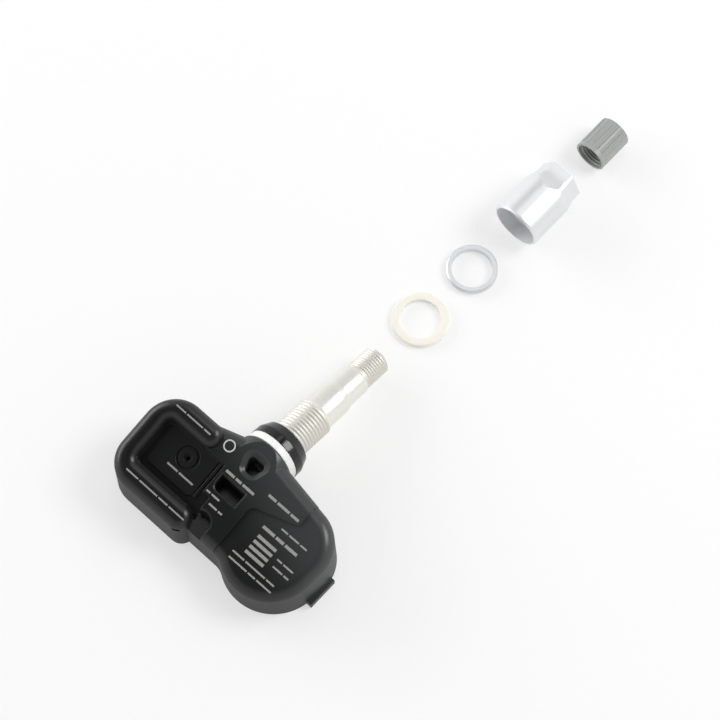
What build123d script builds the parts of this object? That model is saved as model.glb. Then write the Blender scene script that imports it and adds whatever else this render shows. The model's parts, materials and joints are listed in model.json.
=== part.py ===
from build123d import *
import math
import os

# Tyre pressure sensor with a clamp-in valve stem, lying on a bench with its fixing pieces in line.
# Millimetres. +Z is up and the bench is z = 0. The stem lies over x = 0 and points along +Y.
# The origin is on the bench, under the middle of the air well in the housing's face.

# Posture
stem_dip = 12.0  # degrees that the stem falls towards the bench
face_climb = 16.0  # degrees that the housing's face climbs towards the stem
face_height = 19.0  # face above the bench, over the origin
tip_lift = 0.3  # room between the bench and the stem's tip
seat_y = 4.3  # where the stem's axis leaves the neck

# Valve stem, from the neck's end outwards
washer_seat_d = 9.6  # plain part under the washers
rim_thread_relief = 0.15  # plain part left between the washers and the thread
rim_thread_d = 10.5
rim_thread_length = 10.3
rim_thread_runout = 0.9
lower_shank_d = 9.3
lower_shank_length = 6.8
shoulder_length = 1.8
upper_shank_d = 8.3
upper_shank_length = 6.1
cap_thread_runout = 0.4
cap_thread_d = 7.75
cap_thread_length = 8.4
tip_chamfer = 0.7

# Valve stem, from the neck's end into the housing
anchor_neck_d = 7.8
anchor_neck_length = 0.8
anchor_d = 9.4
anchor_length = 1.0
nose_d = 6.4
nose_length = 1.4
air_bore_d = 3.2

# Valve core, depths measured from the stem's tip
core_thread_d = 5.2
core_recess = 1.2
core_head_length = 4.8
core_barrel_d = 3.5
core_barrel_length = 8.0
core_floor = 1.0
core_guide_length = 1.8
core_slot_width = 1.0
core_slot_depth = 0.9
spring_room_d = 2.5
core_fit = 0.05  # radial room of the core in its bore
seat_cone_length = 1.4
cup_room = 0.3  # radial room round the sealing cup
cup_room_length = 9.4
pin_d = 1.2
pin_fit = 0.08
pin_top = 0.4  # pin's end below the stem's tip
pin_collar_d = 2.2
pin_collar_length = 0.6
pin_collar_gap = 0.6
pin_tail = 0.4
cup_d = 3.4
cup_length = 1.9
cup_gap = 0.1
spring_wire = 0.3
spring_turns = 7
spring_sides = 6  # wire drawn as a hexagon

# Washers on the neck
insulator_d = 15.2
insulator_thickness = 2.05
grommet_d = 15.4
grommet_length = 4.8
grommet_nose_d = 13.2
grommet_round = 1.3
stem_fit = 0.05  # radial room of the washers on the stem

# Housing, plan sizes from the stem's axis and the air well
box_reach = 29.7  # the box end's far wall
box_back_y = 1.4
box_front_y = -24.1
box_front_corner = 7.5
box_back_corner = 9.0
box_wall = 5.0
arm_width = 6.2
upper_arm_end = -10.5
lower_arm_end = -3.4
arm_round = 3.0
arm_raise = 1.3  # arms above the face
arm_edge = 2.6
arm_moat = 0.5  # shallow groove round the back arm's end
arm_moat_depth = 0.4
waist_y = -21.5
waist_blend = 6.0
lobe_x = 16.3
lobe_y = -11.4
lobe_r = 13.0
lobe_back_x = 19.4
lobe_back_y = -7.7
lobe_back_r = 10.3
gable_foot = -15.0
gable_x = -0.7
gable_y = 5.8
face_edge = 3.2
wall_draft = 1.5
neck_d = 16.0
neck_length = 9.0
neck_edge = 0.5

# Housing, features in the face
recess_right = -5.6
recess_depth = 3.2
recess_corner = 1.8
pocket_right = -3.2  # the recess reaches further at its front
pocket_back = -13.1
pad_inset = 1.7
pad_right = -7.9
pad_front = -15.9
pad_corner = 1.6
pad_raise = 0.5
rail_width = 0.8
rail_front = -15.2
port_x = -14.8
port_y = -8.9
port_d = 6.2
port_ring_width = 0.75
port_ring_depth = 0.6
port_dish_d = 2.1
port_dish_depth = 0.7
port_hole_d = 1.1
slot_left = -4.6
slot_right = 3.0
slot_back = -6.8
slot_front = -10.7
slot_corner = 1.6
notch_x = -1.4
notch_y = -19.0
notch_r = 2.9
rim_bevel = 0.4  # bevel on the rims of slot and notch
rim_bevel_angle = 45.0
well_width = 5.4
well_front_width = 2.6
well_back = 1.5
well_front = -2.6
well_corner = 1.1
well_lip = 1.45
well_lip_angle = 50.0
panel_left = 6.0
panel_back_left = -7.8
panel_back_right = -4.0
panel_back_end = 18.4
panel_corner = 2.5
panel_drop = 0.45
panel_climb = 14.5
panel_roll = 2.6
gate_x = -4.6
gate_drop = 1.3  # gate mark below the face, on the front wall
gate_width = 2.4
gate_height = 1.3
gate_depth = 0.8
lug_width = 8.6
lug_reach = 2.0
lug_height = 2.6
lug_y = -9.6

# Housing, hollow underside
shell_wall = 1.5
floor_skin = 2.0  # plastic left under the deepest cuts
neck_root_y = -3.0
neck_root_half = 10.0
resin_recess = 0.4

# Electronics
board_thickness = 1.6
board_headroom = 4.0  # room over the board for its components
board_gap = 0.4
board_right = 3.4
cell_d = 20.0
cell_thickness = 5.0
cell_edge = 0.6
cell_gap = 0.5
cell_headroom = 0.8
tab_thickness = 0.2
tab_width = 4.0
tab_offset = 4.0
tab_foot = 1.8
tab_gap = 0.3
sensor_size = 6.0
sensor_height = 2.4
sensor_hole_d = 1.6
sensor_hole_depth = 0.8
gasket_d = 5.0
gasket_hole_d = 1.8
radio_x = -2.4
radio_y = -8.6
radio_size = 5.0
radio_height = 0.9
crystal_x = -2.4
crystal_y = -14.6
crystal_length = 3.2
crystal_width = 2.5
crystal_height = 0.8
crystal_corner = 0.5
coil_x = -17.0
coil_y = -18.6
coil_length = 9.0
coil_flange = 1.4
coil_width = 2.8
coil_shaft = 1.5
coil_winding = 2.5
loop_x = -7.6
loop_back = -5.2
loop_front = -16.4
loop_width = 1.2
loop_height = 3.4
loop_thickness = 0.4
chip_length = 1.6
chip_width = 0.8
chip_count = 5
chip_inset = 2.2
chip_y = -12.6
chip_pitch = 2.2

# Loose pieces, laid on the bench beyond the stem's tip
nylon_x = 0.0
nylon_gap = 8.65  # room between one piece and the next, along Y
nylon_d = 15.3
nylon_hole_d = 10.9
nylon_thickness = 1.5
nylon_edge = 0.35
ring_x = 0.5
ring_gap = 5.15
ring_d = 13.6
ring_hole_d = 10.9
ring_thickness = 1.8
ring_edge = 0.35
nut_x = 2.2
nut_gap = 7.9
nut_length = 18.6
nut_d = 14.0
nut_neck_d = 12.5
nut_neck_length = 3.2
nut_neck_cone = 2.6
nut_flats = 11.1
nut_flat_length = 1.5
nut_runout_r = 12.0
nut_turn = 30.0  # degrees that the flats are turned about the nut's axis
nut_thread_d = 10.7
nut_thread_length = 7.5
nut_mouth_d = 12.6
nut_mouth_length = 4.0
nut_mouth_cone = 1.0
nut_bore_d = 9.6
nut_edge = 0.4
cap_x = 3.0
cap_gap = 10.8
cap_d = 9.1
cap_length = 10.4
cap_collar_length = 1.1
cap_flutes = 18
cap_flute_d = 1.0
cap_flute_depth = 0.3
cap_bore_d = 7.95
cap_bore_depth = 8.8
cap_edge = 0.15
cap_seal_thickness = 1.0
cap_seal_hole_d = 2.6

# Worked out from the sizes above
span = 4 * box_reach  # larger than the housing, for cutting tools
dip = math.radians(stem_dip)
stem_way = Vector(0, math.cos(dip), -math.sin(dip))
washers_end = insulator_thickness + grommet_length
rim_thread_start = washers_end + rim_thread_relief
rim_thread_end = rim_thread_start + rim_thread_length
lower_shank_start = rim_thread_end + rim_thread_runout
lower_shank_end = lower_shank_start + lower_shank_length
upper_shank_start = lower_shank_end + shoulder_length
upper_shank_end = upper_shank_start + upper_shank_length
cap_thread_start = upper_shank_end + cap_thread_runout
stem_reach = cap_thread_start + cap_thread_length
seat_z = cap_thread_d / 2 * math.cos(dip) + tip_lift + stem_reach * math.sin(dip)
stem_place = Plane(origin=(0, seat_y, seat_z), x_dir=(1, 0, 0), z_dir=stem_way)
tip_place = stem_place.offset(stem_reach)
box_front_inner = box_front_y + arm_width
box_back_inner = box_back_y - arm_width
box_wall_inner = -box_reach + box_wall
nylon_y = tip_place.origin.Y + nylon_gap + nylon_d / 2
ring_y = nylon_y + nylon_d / 2 + ring_gap + ring_d / 2
nut_mouth_y = ring_y + ring_d / 2 + nut_gap
cap_mouth_y = nut_mouth_y + nut_length + cap_gap


def face_z(y):
    """Height of the face above the bench at a distance along Y."""
    return face_height + y * math.tan(math.radians(face_climb))


block_height = face_z(gable_y) + 2 * arm_raise
recess_floor_low = face_z(box_front_inner) - recess_depth
hollow_ceiling = recess_floor_low - floor_skin
cut_floor = hollow_ceiling + floor_skin
board_top = hollow_ceiling - board_headroom
board_bottom = board_top - board_thickness
board_left = -box_reach + shell_wall + board_gap
cell_bottom = board_bottom + tab_thickness
cell_top = cell_bottom + cell_thickness
cell_ceiling = cell_top + tab_thickness + cell_headroom


def turned(points):
    """Solid of revolution about Z from a closed outline of (radius, height) points."""
    return revolve(Plane.XZ * make_face(Polyline(*points, close=True)), Axis.Z)


def ring_solid(outer_d, hole_d, thickness, edge):
    """Flat ring standing on z = 0, with a small chamfer on its outer rims."""
    outer, hole = outer_d / 2, hole_d / 2
    return turned([
        (hole, 0),
        (outer - edge, 0),
        (outer, edge),
        (outer, thickness - edge),
        (outer - edge, thickness),
        (hole, thickness),
    ])


def sloped(height, climb, roll=0.0, at=(0.0, 0.0)):
    """Plane at a height over a point, climbing along +Y and, by roll, along +X."""
    normal = Vector(-math.tan(math.radians(roll)), -math.tan(math.radians(climb)), 1)
    return Plane(origin=(at[0], at[1], height), x_dir=(1, 0, 0), z_dir=normal)


def below(plane):
    return plane * Box(span, span, span, align=(Align.CENTER, Align.CENTER, Align.MAX))


def above(plane):
    return plane * Box(span, span, span, align=(Align.CENTER, Align.CENTER, Align.MIN))


def area(left, right, front, back):
    """Rectangle in plan from its four sides."""
    return Pos((left + right) / 2, (front + back) / 2) * Rectangle(right - left, back - front)


def block(left, right, front, back, bottom, top):
    return Pos(0, 0, bottom) * extrude(area(left, right, front, back), top - bottom)


def column(sketch, bottom, top):
    return Pos(0, 0, bottom) * extrude(sketch, top - bottom)


def edges_on(solid, plane):
    """Edges that lie in a plane over their whole length."""
    def lies_in(edge):
        return all(abs(plane.to_local_coords(edge @ t).Z) < 1e-3 for t in (0, 0.3, 0.5, 0.7, 1))
    return [edge for edge in solid.edges() if lies_in(edge)]


face_plane = sloped(face_height, face_climb)
arm_plane = face_plane.offset(arm_raise)
recess_plane = face_plane.offset(-recess_depth)
pad_plane = recess_plane.offset(pad_raise)
panel_plane = sloped(
    face_z(lobe_y) - panel_drop, panel_climb, panel_roll, (lobe_x, lobe_y)
)


def box_outline():
    """Plan of the box end: a U of rounded arms, the front one longer."""
    plan = area(-box_reach, lower_arm_end, box_front_y, box_back_y)
    plan -= area(upper_arm_end, lower_arm_end, box_front_inner, box_back_y)
    plan -= area(box_wall_inner, upper_arm_end, box_front_inner, box_back_inner)
    plan = fillet(plan.vertices().sort_by_distance((-box_reach, box_front_y))[0], box_front_corner)
    plan = fillet(plan.vertices().sort_by_distance((-box_reach, box_back_y))[0], box_back_corner)
    inner = [v for v in plan.vertices() if abs(v.X - box_wall_inner) < arm_round / 2]
    plan = fillet(inner, recess_corner)
    ends = [v for v in plan.vertices() if v.X > upper_arm_end - arm_round / 2]
    return fillet(ends, arm_round)


def middle_outline():
    """Plan of the middle, with its gable towards the stem and the round lobe at its end."""
    wall_x = -box_reach + box_wall / 2
    plan = make_face(Polyline(
        (-box_reach + box_front_corner, waist_y),
        (lobe_x, waist_y),
        (lobe_x, lobe_y),
        (gable_x, gable_y),
        (gable_foot, box_back_y),
        (-box_reach + box_back_corner, box_back_y),
        (wall_x, box_back_y - box_back_corner),
        (wall_x, box_front_y + box_front_corner),
        close=True,
    ))
    round_end = Pos(lobe_x, lobe_y) * CenterArc((0, 0), lobe_r, 0, 360)
    back_end = Pos(lobe_back_x, lobe_back_y) * CenterArc((0, 0), lobe_back_r, 0, 360)
    ridge = Line((gable_x, gable_y), (lobe_x, lobe_y))
    plan += make_hull([*round_end.edges(), *back_end.edges(), *ridge.edges()])
    meet_x = lobe_x - math.sqrt(lobe_r**2 - (waist_y - lobe_y) ** 2)
    meet = plan.vertices().sort_by_distance((meet_x, waist_y, 0))[0]
    return fillet(meet, waist_blend)


def moulded_block(plan, top_plane, edge_r):
    """Block that widens downwards from a plan, cut off by a sloped plane, with its top edge rounded."""
    drafted = mirror(extrude(plan, block_height, taper=-wall_draft), about=Plane.XY)
    solid = Pos(0, 0, block_height) * drafted & below(top_plane)
    return fillet(edges_on(solid, top_plane), edge_r)


def along(y):
    """Distance up the face's slope of a distance along Y."""
    return y / math.cos(math.radians(face_climb))


def lip(plan, width, angle):
    """Sloped rim of a cut, from a plan in the face, widening up to the face."""
    depth = width / math.tan(math.radians(angle))
    return face_plane * (Pos(0, 0, -depth) * extrude(plan, depth, taper=-angle))


def air_well():
    """Well with four rounded corners and a wide sloped lip, down past the stem's bore."""
    back, front = well_width / 2, well_front_width / 2
    plan = make_face(Polyline(
        (-back, well_back), (back, well_back), (front, well_front), (-front, well_front), close=True,
    ))
    plan = fillet(plan.vertices(), well_corner)
    floor = seat_z + seat_y * math.tan(dip) - air_bore_d / 2
    shaft = column(plan, floor, face_z(well_back) + arm_raise)
    return shaft + lip(plan, well_lip, well_lip_angle)


def slot():
    """Deep slot in the face, with one rounded corner and a bevelled rim."""
    def plan(front, back):
        shape = area(slot_left, slot_right, front, back)
        return fillet(shape.vertices().sort_by_distance((slot_left, front))[0], slot_corner)
    shaft = column(plan(slot_front, slot_back), cut_floor, span / 4)
    return shaft + lip(plan(along(slot_front), along(slot_back)), rim_bevel, rim_bevel_angle)


def port_cuts():
    """Ring groove, dish and hole of the pressure port, cut from the pad downwards."""
    place = Pos(port_x, port_y)
    top = face_z(port_y)
    groove = place * (Circle(port_d / 2) - Circle(port_d / 2 - port_ring_width))
    dish = place * Circle(port_dish_d / 2)
    hole = place * Circle(port_hole_d / 2)
    cuts = column(groove, 0, top) & above(pad_plane.offset(-port_ring_depth))
    cuts += column(dish, 0, top) & above(pad_plane.offset(-port_dish_depth))
    return cuts + column(hole, 0, top)


def stem_shape():
    """Outside of the stem as turned: anchor, washer seat, rim thread, two shanks and cap thread."""
    rim, low = rim_thread_d / 2, lower_shank_d / 2
    up, cap = upper_shank_d / 2, cap_thread_d / 2
    seat = washer_seat_d / 2
    anchor_end = -anchor_neck_length - anchor_length
    nose_end = anchor_end - nose_length
    return turned([
        (0, nose_end),
        (nose_d / 2, nose_end),
        (nose_d / 2, anchor_end),
        (anchor_d / 2, anchor_end),
        (anchor_d / 2, -anchor_neck_length),
        (anchor_neck_d / 2, -anchor_neck_length),
        (anchor_neck_d / 2, 0),
        (seat, 0),
        (seat, rim_thread_start),
        (rim, rim_thread_start),
        (rim, rim_thread_end),
        (low, lower_shank_start),
        (low, lower_shank_end),
        (up, upper_shank_start),
        (up, upper_shank_end),
        (cap, cap_thread_start),
        (cap, stem_reach - tip_chamfer),
        (cap - tip_chamfer, stem_reach),
        (0, stem_reach),
    ])


core_bore_r = core_thread_d / 2 + core_fit
core_shoulder = core_recess + core_head_length
cone_start = core_shoulder + seat_cone_length
cone_end = cone_start + seat_cone_length
cup_bore_r = cup_d / 2 + cup_room
barrel_end = core_shoulder + core_barrel_length
cup_top = barrel_end + cup_gap
cup_bottom = cup_top + cup_length
cup_bore_end = cone_end + cup_room_length
collar_top = core_recess + core_guide_length + pin_collar_gap
collar_end = collar_top + pin_collar_length
spring_end = barrel_end - core_floor


def stem_bore():
    """Bore of the stem, from its tip inwards: core thread, cone seat, cup room, air bore."""
    air = air_bore_d / 2
    bottom = -stem_reach - anchor_neck_length - anchor_length - nose_length
    return turned([
        (0, 0),
        (core_bore_r, 0),
        (core_bore_r, -cone_start),
        (cup_bore_r, -cone_end),
        (cup_bore_r, -cup_bore_end),
        (air, -cup_bore_end),
        (air, bottom),
        (0, bottom),
    ])


def valve_stem():
    return stem_place * stem_shape() - tip_place * stem_bore()


def valve_core_body():
    """Core shell: slotted head with the pin's guide, and a barrel that holds the spring."""
    head, barrel = core_thread_d / 2, core_barrel_d / 2
    room, guide = spring_room_d / 2, pin_d / 2 + pin_fit
    room_top = core_recess + core_guide_length
    body = turned([
        (guide, -core_recess),
        (head, -core_recess),
        (head, -core_shoulder),
        (barrel, -core_shoulder),
        (barrel, -barrel_end),
        (guide, -barrel_end),
        (guide, -spring_end),
        (room, -spring_end),
        (room, -room_top),
        (guide, -room_top),
    ])
    driver = Pos(0, 0, -core_recess) * Box(
        core_thread_d, core_slot_width, core_slot_depth, align=(Align.CENTER, Align.CENTER, Align.MAX)
    )
    return tip_place * (body - driver)


def valve_core_gasket():
    """Soft ring on the barrel that the stem's cone seat squeezes."""
    inner = core_barrel_d / 2
    return tip_place * turned([
        (inner, -core_shoulder),
        (core_thread_d / 2, -core_shoulder),
        (core_thread_d / 2, -cone_start),
        (cup_bore_r - core_fit, -cone_end),
        (inner, -cone_end),
    ])


def valve_pin():
    r, collar = pin_d / 2, pin_collar_d / 2
    tail = cup_bottom + pin_tail
    return tip_place * turned([
        (0, -pin_top),
        (r, -pin_top),
        (r, -collar_top),
        (collar, -collar_top),
        (collar, -collar_end),
        (r, -collar_end),
        (r, -tail),
        (0, -tail),
    ])


def valve_seal_cup():
    """Cup on the pin's inner end that closes the barrel's floor."""
    r = cup_d / 2
    return tip_place * turned([
        (pin_d / 2, -cup_top),
        (r, -cup_top),
        (r, -cup_bottom + cup_length / 2),
        (r - cup_room, -cup_bottom),
        (pin_d / 2, -cup_bottom),
    ])


def valve_core_spring():
    """Coil between the pin's collar and the barrel's floor."""
    height = spring_end - collar_end - spring_wire
    mean_r = (spring_room_d / 2 + pin_d / 2) / 2
    path = Helix(pitch=height / spring_turns, height=height, radius=mean_r)
    section = Plane(origin=path @ 0, z_dir=path % 0) * RegularPolygon(spring_wire / 2, spring_sides)
    coil = sweep(section, path=path, is_frenet=True)
    return tip_place * (Pos(0, 0, -spring_end + spring_wire / 2) * coil)


def insulating_washer():
    hole = washer_seat_d + 2 * stem_fit
    return stem_place * ring_solid(insulator_d, hole, insulator_thickness, stem_fit)


def rubber_grommet():
    """Rubber seal: a wide heel against the insulator and a rounded nose for the rim's hole."""
    hole = washer_seat_d / 2 + stem_fit
    heel, nose = grommet_d / 2, grommet_nose_d / 2
    start = insulator_thickness
    body = turned([
        (hole, start),
        (heel, start),
        (heel, start + grommet_length - 2 * grommet_round),
        (nose, washers_end),
        (hole, washers_end),
    ])
    rims = [e for e in body.edges() if e.center().Z > start + grommet_length / 4]
    heel_rim = [e for e in rims if abs(e.length - math.pi * grommet_d) < stem_fit]
    return stem_place * fillet(heel_rim, grommet_round)


def inner_plan(gap):
    """Plan of the room inside the walls, less a gap, with solid plastic left behind the neck."""
    plan = offset(box_outline() + middle_outline(), -shell_wall)
    plan -= area(-neck_root_half, neck_root_half, neck_root_y, span)
    return offset(plan, -gap) if gap else plan


def hollow():
    """Room under the housing for the board, with a deeper pocket for the cell."""
    room = extrude(inner_plan(0), hollow_ceiling)
    return room + column(Pos(lobe_x, lobe_y) * Circle(cell_d / 2 + cell_gap), cell_bottom, cell_ceiling)


def recess():
    """Recess of the box end, with its raised pad and rail left standing."""
    plan = area(box_wall_inner, recess_right, box_front_inner, box_back_inner)
    plan = fillet(plan.vertices().sort_by(Axis.X)[:2], recess_corner)
    plan += area(pad_right, pocket_right, box_front_inner, pocket_back)
    plan += area(lower_arm_end - arm_round, pocket_right, notch_y, box_front_inner)
    top = face_z(box_back_y) + span / 4
    cut = column(plan, 0, top) & above(recess_plane)
    pad = area(box_wall_inner + pad_inset, pad_right, pad_front, box_back_inner)
    pad = fillet(pad.vertices().sort_by(Axis.Y)[:2], pad_corner)
    rail = area(pad_right + rail_width / 2, pad_right + 3 * rail_width / 2, rail_front, box_back_inner)
    stands = column(pad + rail, 0, top) & below(pad_plane)
    return cut - stands


def notch():
    """Round-ended notch between the front arm and the middle, open to the front, with a bevelled rim."""
    plan = Pos(notch_x, notch_y) * Circle(notch_r)
    plan += area(notch_x - notch_r, notch_x + notch_r, box_front_y - arm_width, notch_y)
    rim = lip(Pos(notch_x, along(notch_y)) * Circle(notch_r - rim_bevel), 2 * rim_bevel, rim_bevel_angle)
    return column(plan, cut_floor, face_z(notch_y) + span / 4) + rim


def moat():
    """Shallow groove round the end of the back arm."""
    plan = offset(box_outline(), arm_moat)
    plan &= area(upper_arm_end - arm_round, recess_right, box_back_inner - arm_moat, box_back_y)
    return column(plan, 0, block_height) & above(face_plane.offset(-arm_moat_depth))


def panel_region():
    """Column over the sunk label panel and the whole end of the lobe."""
    edge_x = lobe_x + lobe_r + lug_reach
    edge_y = lobe_y - lobe_r - lug_reach
    plan = make_face(Polyline(
        (panel_left, edge_y),
        (panel_left, panel_back_left),
        (panel_back_end, panel_back_right),
        (panel_back_end, gable_y),
        (edge_x, gable_y),
        (edge_x, edge_y),
        close=True,
    ))
    corner = plan.vertices().sort_by_distance((panel_left, panel_back_left, 0))[0]
    return column(fillet(corner, panel_corner), 0, block_height)


def housing():
    """Moulded housing: middle with lobe, neck and box end, then the cuts in its face and underside."""
    region = panel_region()
    body = moulded_block(middle_outline(), face_plane, face_edge) - region
    body += moulded_block(middle_outline(), panel_plane, face_edge) & region
    neck = turned([
        (0, 0),
        (neck_d / 2 - neck_edge, 0),
        (neck_d / 2, -neck_edge),
        (neck_d / 2, -neck_length),
        (0, -neck_length),
    ])
    body += stem_place * neck & below(face_plane)
    body -= recess()
    body -= notch()
    body -= moat()
    body += moulded_block(box_outline(), arm_plane, arm_edge)
    lug_right = lobe_x + lobe_r + lug_reach
    body += block(lobe_x, lug_right, lug_y - lug_width / 2, lug_y + lug_width / 2, 0, lug_height)
    body -= stem_place * Cylinder(
        neck_d, span / 2, align=(Align.CENTER, Align.CENTER, Align.MIN)
    )
    gate_z = face_z(box_front_y) - gate_drop
    body -= Pos(gate_x, box_front_y, gate_z) * Box(gate_width, 2 * gate_depth, gate_height)
    body -= port_cuts()
    body -= slot()
    body -= air_well()
    body -= hollow()
    return body - stem_place * stem_shape()


def potting_fill():
    """Resin poured into the open underside, up to the board."""
    return column(inner_plan(0), resin_recess, board_bottom)


def circuit_board():
    plan = inner_plan(board_gap) & area(-span, board_right, -span, span)
    return column(plan, board_bottom, board_top)


def battery_cell():
    """Coin cell: can and lid in one sealed solid, with a rolled edge."""
    r = cell_d / 2
    return Pos(lobe_x, lobe_y, cell_bottom) * turned([
        (0, 0),
        (r - 2 * cell_edge, 0),
        (r - cell_edge, cell_edge),
        (r, 2 * cell_edge),
        (r, cell_thickness),
        (0, cell_thickness),
    ])


def bent_tab(points, y):
    """Sheet metal tab: an outline of (x, z) points drawn out to the tab's width along Y."""
    outline = Plane.XZ * make_face(Polyline(*points, close=True))
    return Pos(0, y) * extrude(outline, tab_width / 2, both=True)


def battery_tab_positive():
    """Tab from the top of the cell, down to a foot on the board."""
    foot, top = board_right - tab_foot, board_top + tab_thickness
    return bent_tab([
        (lobe_x, cell_top),
        (lobe_x, cell_top + tab_thickness),
        (board_right - tab_thickness, cell_top + tab_thickness),
        (board_right - tab_thickness, top),
        (foot, top),
        (foot, board_top),
        (board_right, board_top),
        (board_right, cell_top),
    ], lobe_y + tab_offset)


def battery_tab_negative():
    """Tab from under the cell, up past the board's edge to a foot on the board."""
    foot, top = board_right - tab_foot, board_top + tab_thickness
    leg = board_right + tab_gap
    return bent_tab([
        (lobe_x, board_bottom),
        (lobe_x, cell_bottom),
        (leg + tab_thickness, cell_bottom),
        (leg + tab_thickness, top),
        (foot, top),
        (foot, board_top),
        (leg, board_top),
        (leg, board_bottom),
    ], lobe_y - tab_offset)


def on_board(x, y, length, width, height):
    """Box-shaped component standing on the board."""
    return Pos(x, y, board_top) * Box(
        length, width, height, align=(Align.CENTER, Align.CENTER, Align.MIN)
    )


def pressure_sensor_chip():
    """Sensor package with a pressure hole in its lid."""
    chip = on_board(port_x, port_y, sensor_size, sensor_size, sensor_height)
    top = board_top + sensor_height
    return chip - column(Pos(port_x, port_y) * Circle(sensor_hole_d / 2), top - sensor_hole_depth, top)


def pressure_port_gasket():
    """Rubber ring between the sensor's lid and the housing, round the port's hole."""
    ring = Pos(port_x, port_y) * (Circle(gasket_d / 2) - Circle(gasket_hole_d / 2))
    return column(ring, board_top + sensor_height, hollow_ceiling)


def radio_chip():
    return on_board(radio_x, radio_y, radio_size, radio_size, radio_height)


def crystal():
    can = on_board(crystal_x, crystal_y, crystal_length, crystal_width, crystal_height)
    return fillet(can.edges().filter_by(Axis.Z), crystal_corner)


def wake_coil_core():
    """Ferrite core of the wake-up receiver: a shaft between two square flanges."""
    core = on_board(coil_x, coil_y, coil_length, coil_width, coil_width)
    waist = area(
        coil_x - coil_length / 2 + coil_flange,
        coil_x + coil_length / 2 - coil_flange,
        coil_y - coil_width / 2,
        coil_y + coil_width / 2,
    )
    middle = board_top + coil_width / 2
    shaft = Pos(coil_x, coil_y, middle) * Box(coil_length, coil_shaft, coil_shaft)
    return core - column(waist, board_top, board_top + coil_width) + shaft


def wake_coil_winding():
    """Copper winding as one sleeve round the core's shaft."""
    sleeve = RectangleRounded(coil_winding, coil_winding, coil_winding / 4)
    sleeve -= Rectangle(coil_shaft, coil_shaft)
    place = Plane(origin=(coil_x, coil_y, board_top + coil_width / 2), z_dir=(1, 0, 0))
    return place * extrude(sleeve, coil_length / 2 - coil_flange, both=True)


def antenna_loop():
    """Bent strip that arches over the board from pad to pad."""
    top = board_top + loop_height
    arch = make_face(Polyline(
        (loop_front, board_top),
        (loop_front, top),
        (loop_back, top),
        (loop_back, board_top),
        (loop_back - loop_thickness, board_top),
        (loop_back - loop_thickness, top - loop_thickness),
        (loop_front + loop_thickness, top - loop_thickness),
        (loop_front + loop_thickness, board_top),
        close=True,
    ))
    return Pos(loop_x) * extrude(Plane.YZ * arch, loop_width / 2, both=True)


def capacitors():
    """Row of like chip capacitors."""
    first = chip_y - chip_pitch * (chip_count - 1) / 2
    x = board_left + chip_inset
    row = [on_board(x, first + chip_pitch * i, chip_length, chip_width, chip_width)
           for i in range(chip_count)]
    return Compound(children=row)


def nylon_washer():
    return Pos(nylon_x, nylon_y) * ring_solid(nylon_d, nylon_hole_d, nylon_thickness, nylon_edge)


def clamp_ring():
    return Pos(ring_x, ring_y) * ring_solid(ring_d, ring_hole_d, ring_thickness, ring_edge)


def lying(x, y, radius):
    """Place for a round piece on its side, with its mouth at y and its axis along +Y."""
    return Plane(origin=(x, y, radius), x_dir=(1, 0, 0), z_dir=(0, 1, 0))


def nut_flat_cutter():
    """Tool that mills one flat and runs out of the round skirt in an arc."""
    flat, rim = nut_flats / 2, nut_d / 2 + nut_edge
    start = nut_length - nut_flat_length
    turn = math.acos(1 - (rim - flat) / nut_runout_r)
    mid = turn / 2
    runout = ThreePointArc(
        (flat, start),
        (flat + nut_runout_r * (1 - math.cos(mid)), start - nut_runout_r * math.sin(mid)),
        (rim, start - nut_runout_r * math.sin(turn)),
    )
    sides = Polyline(runout @ 1, (rim, nut_length + nut_edge), (flat, nut_length + nut_edge), runout @ 0)
    return extrude(Plane.XZ * make_face([runout, sides]), nut_d / 2, both=True)


def sleeve_nut():
    """Sleeve nut: a round skirt, a threaded bore and six milled flats at its far end."""
    outer, mouth = nut_d / 2, nut_mouth_d / 2
    thread, bore = nut_thread_d / 2, nut_bore_d / 2
    cone_end = nut_mouth_length + nut_mouth_cone
    thread_end = cone_end + nut_thread_length
    nut = turned([
        (mouth, 0),
        (outer - nut_edge, 0),
        (outer, nut_edge),
        (outer, nut_length - nut_neck_length - nut_neck_cone),
        (nut_neck_d / 2, nut_length - nut_neck_length),
        (nut_neck_d / 2, nut_length),
        (bore, nut_length),
        (bore, thread_end),
        (thread, thread_end),
        (thread, cone_end),
        (mouth, nut_mouth_length),
    ])
    for place in PolarLocations(0, 6, start_angle=nut_turn):
        nut -= place * nut_flat_cutter()
    return lying(nut_x, nut_mouth_y, nut_d / 2) * nut


def dust_cap():
    """Screw-on cap: plain collar at the mouth, flutes up to the closed end."""
    outer, bore = cap_d / 2, cap_bore_d / 2
    cap = turned([
        (bore, 0),
        (outer, 0),
        (outer, cap_length - cap_edge),
        (outer - cap_edge, cap_length),
        (0, cap_length),
        (0, cap_bore_depth),
        (bore, cap_bore_depth),
    ])
    flute_r = cap_flute_d / 2
    flute = Pos(0, 0, cap_collar_length) * Cylinder(
        flute_r, cap_length, align=(Align.CENTER, Align.CENTER, Align.MIN)
    )
    for place in PolarLocations(outer + flute_r - cap_flute_depth, cap_flutes):
        cap -= place * flute
    return lying(cap_x, cap_mouth_y, outer) * cap


def dust_cap_seal():
    """Rubber ring on the bottom of the cap's bore."""
    seal = Circle(cap_bore_d / 2) - Circle(cap_seal_hole_d / 2)
    ring = column(seal, cap_bore_depth - cap_seal_thickness, cap_bore_depth)
    return lying(cap_x, cap_mouth_y, cap_d / 2) * ring


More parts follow.
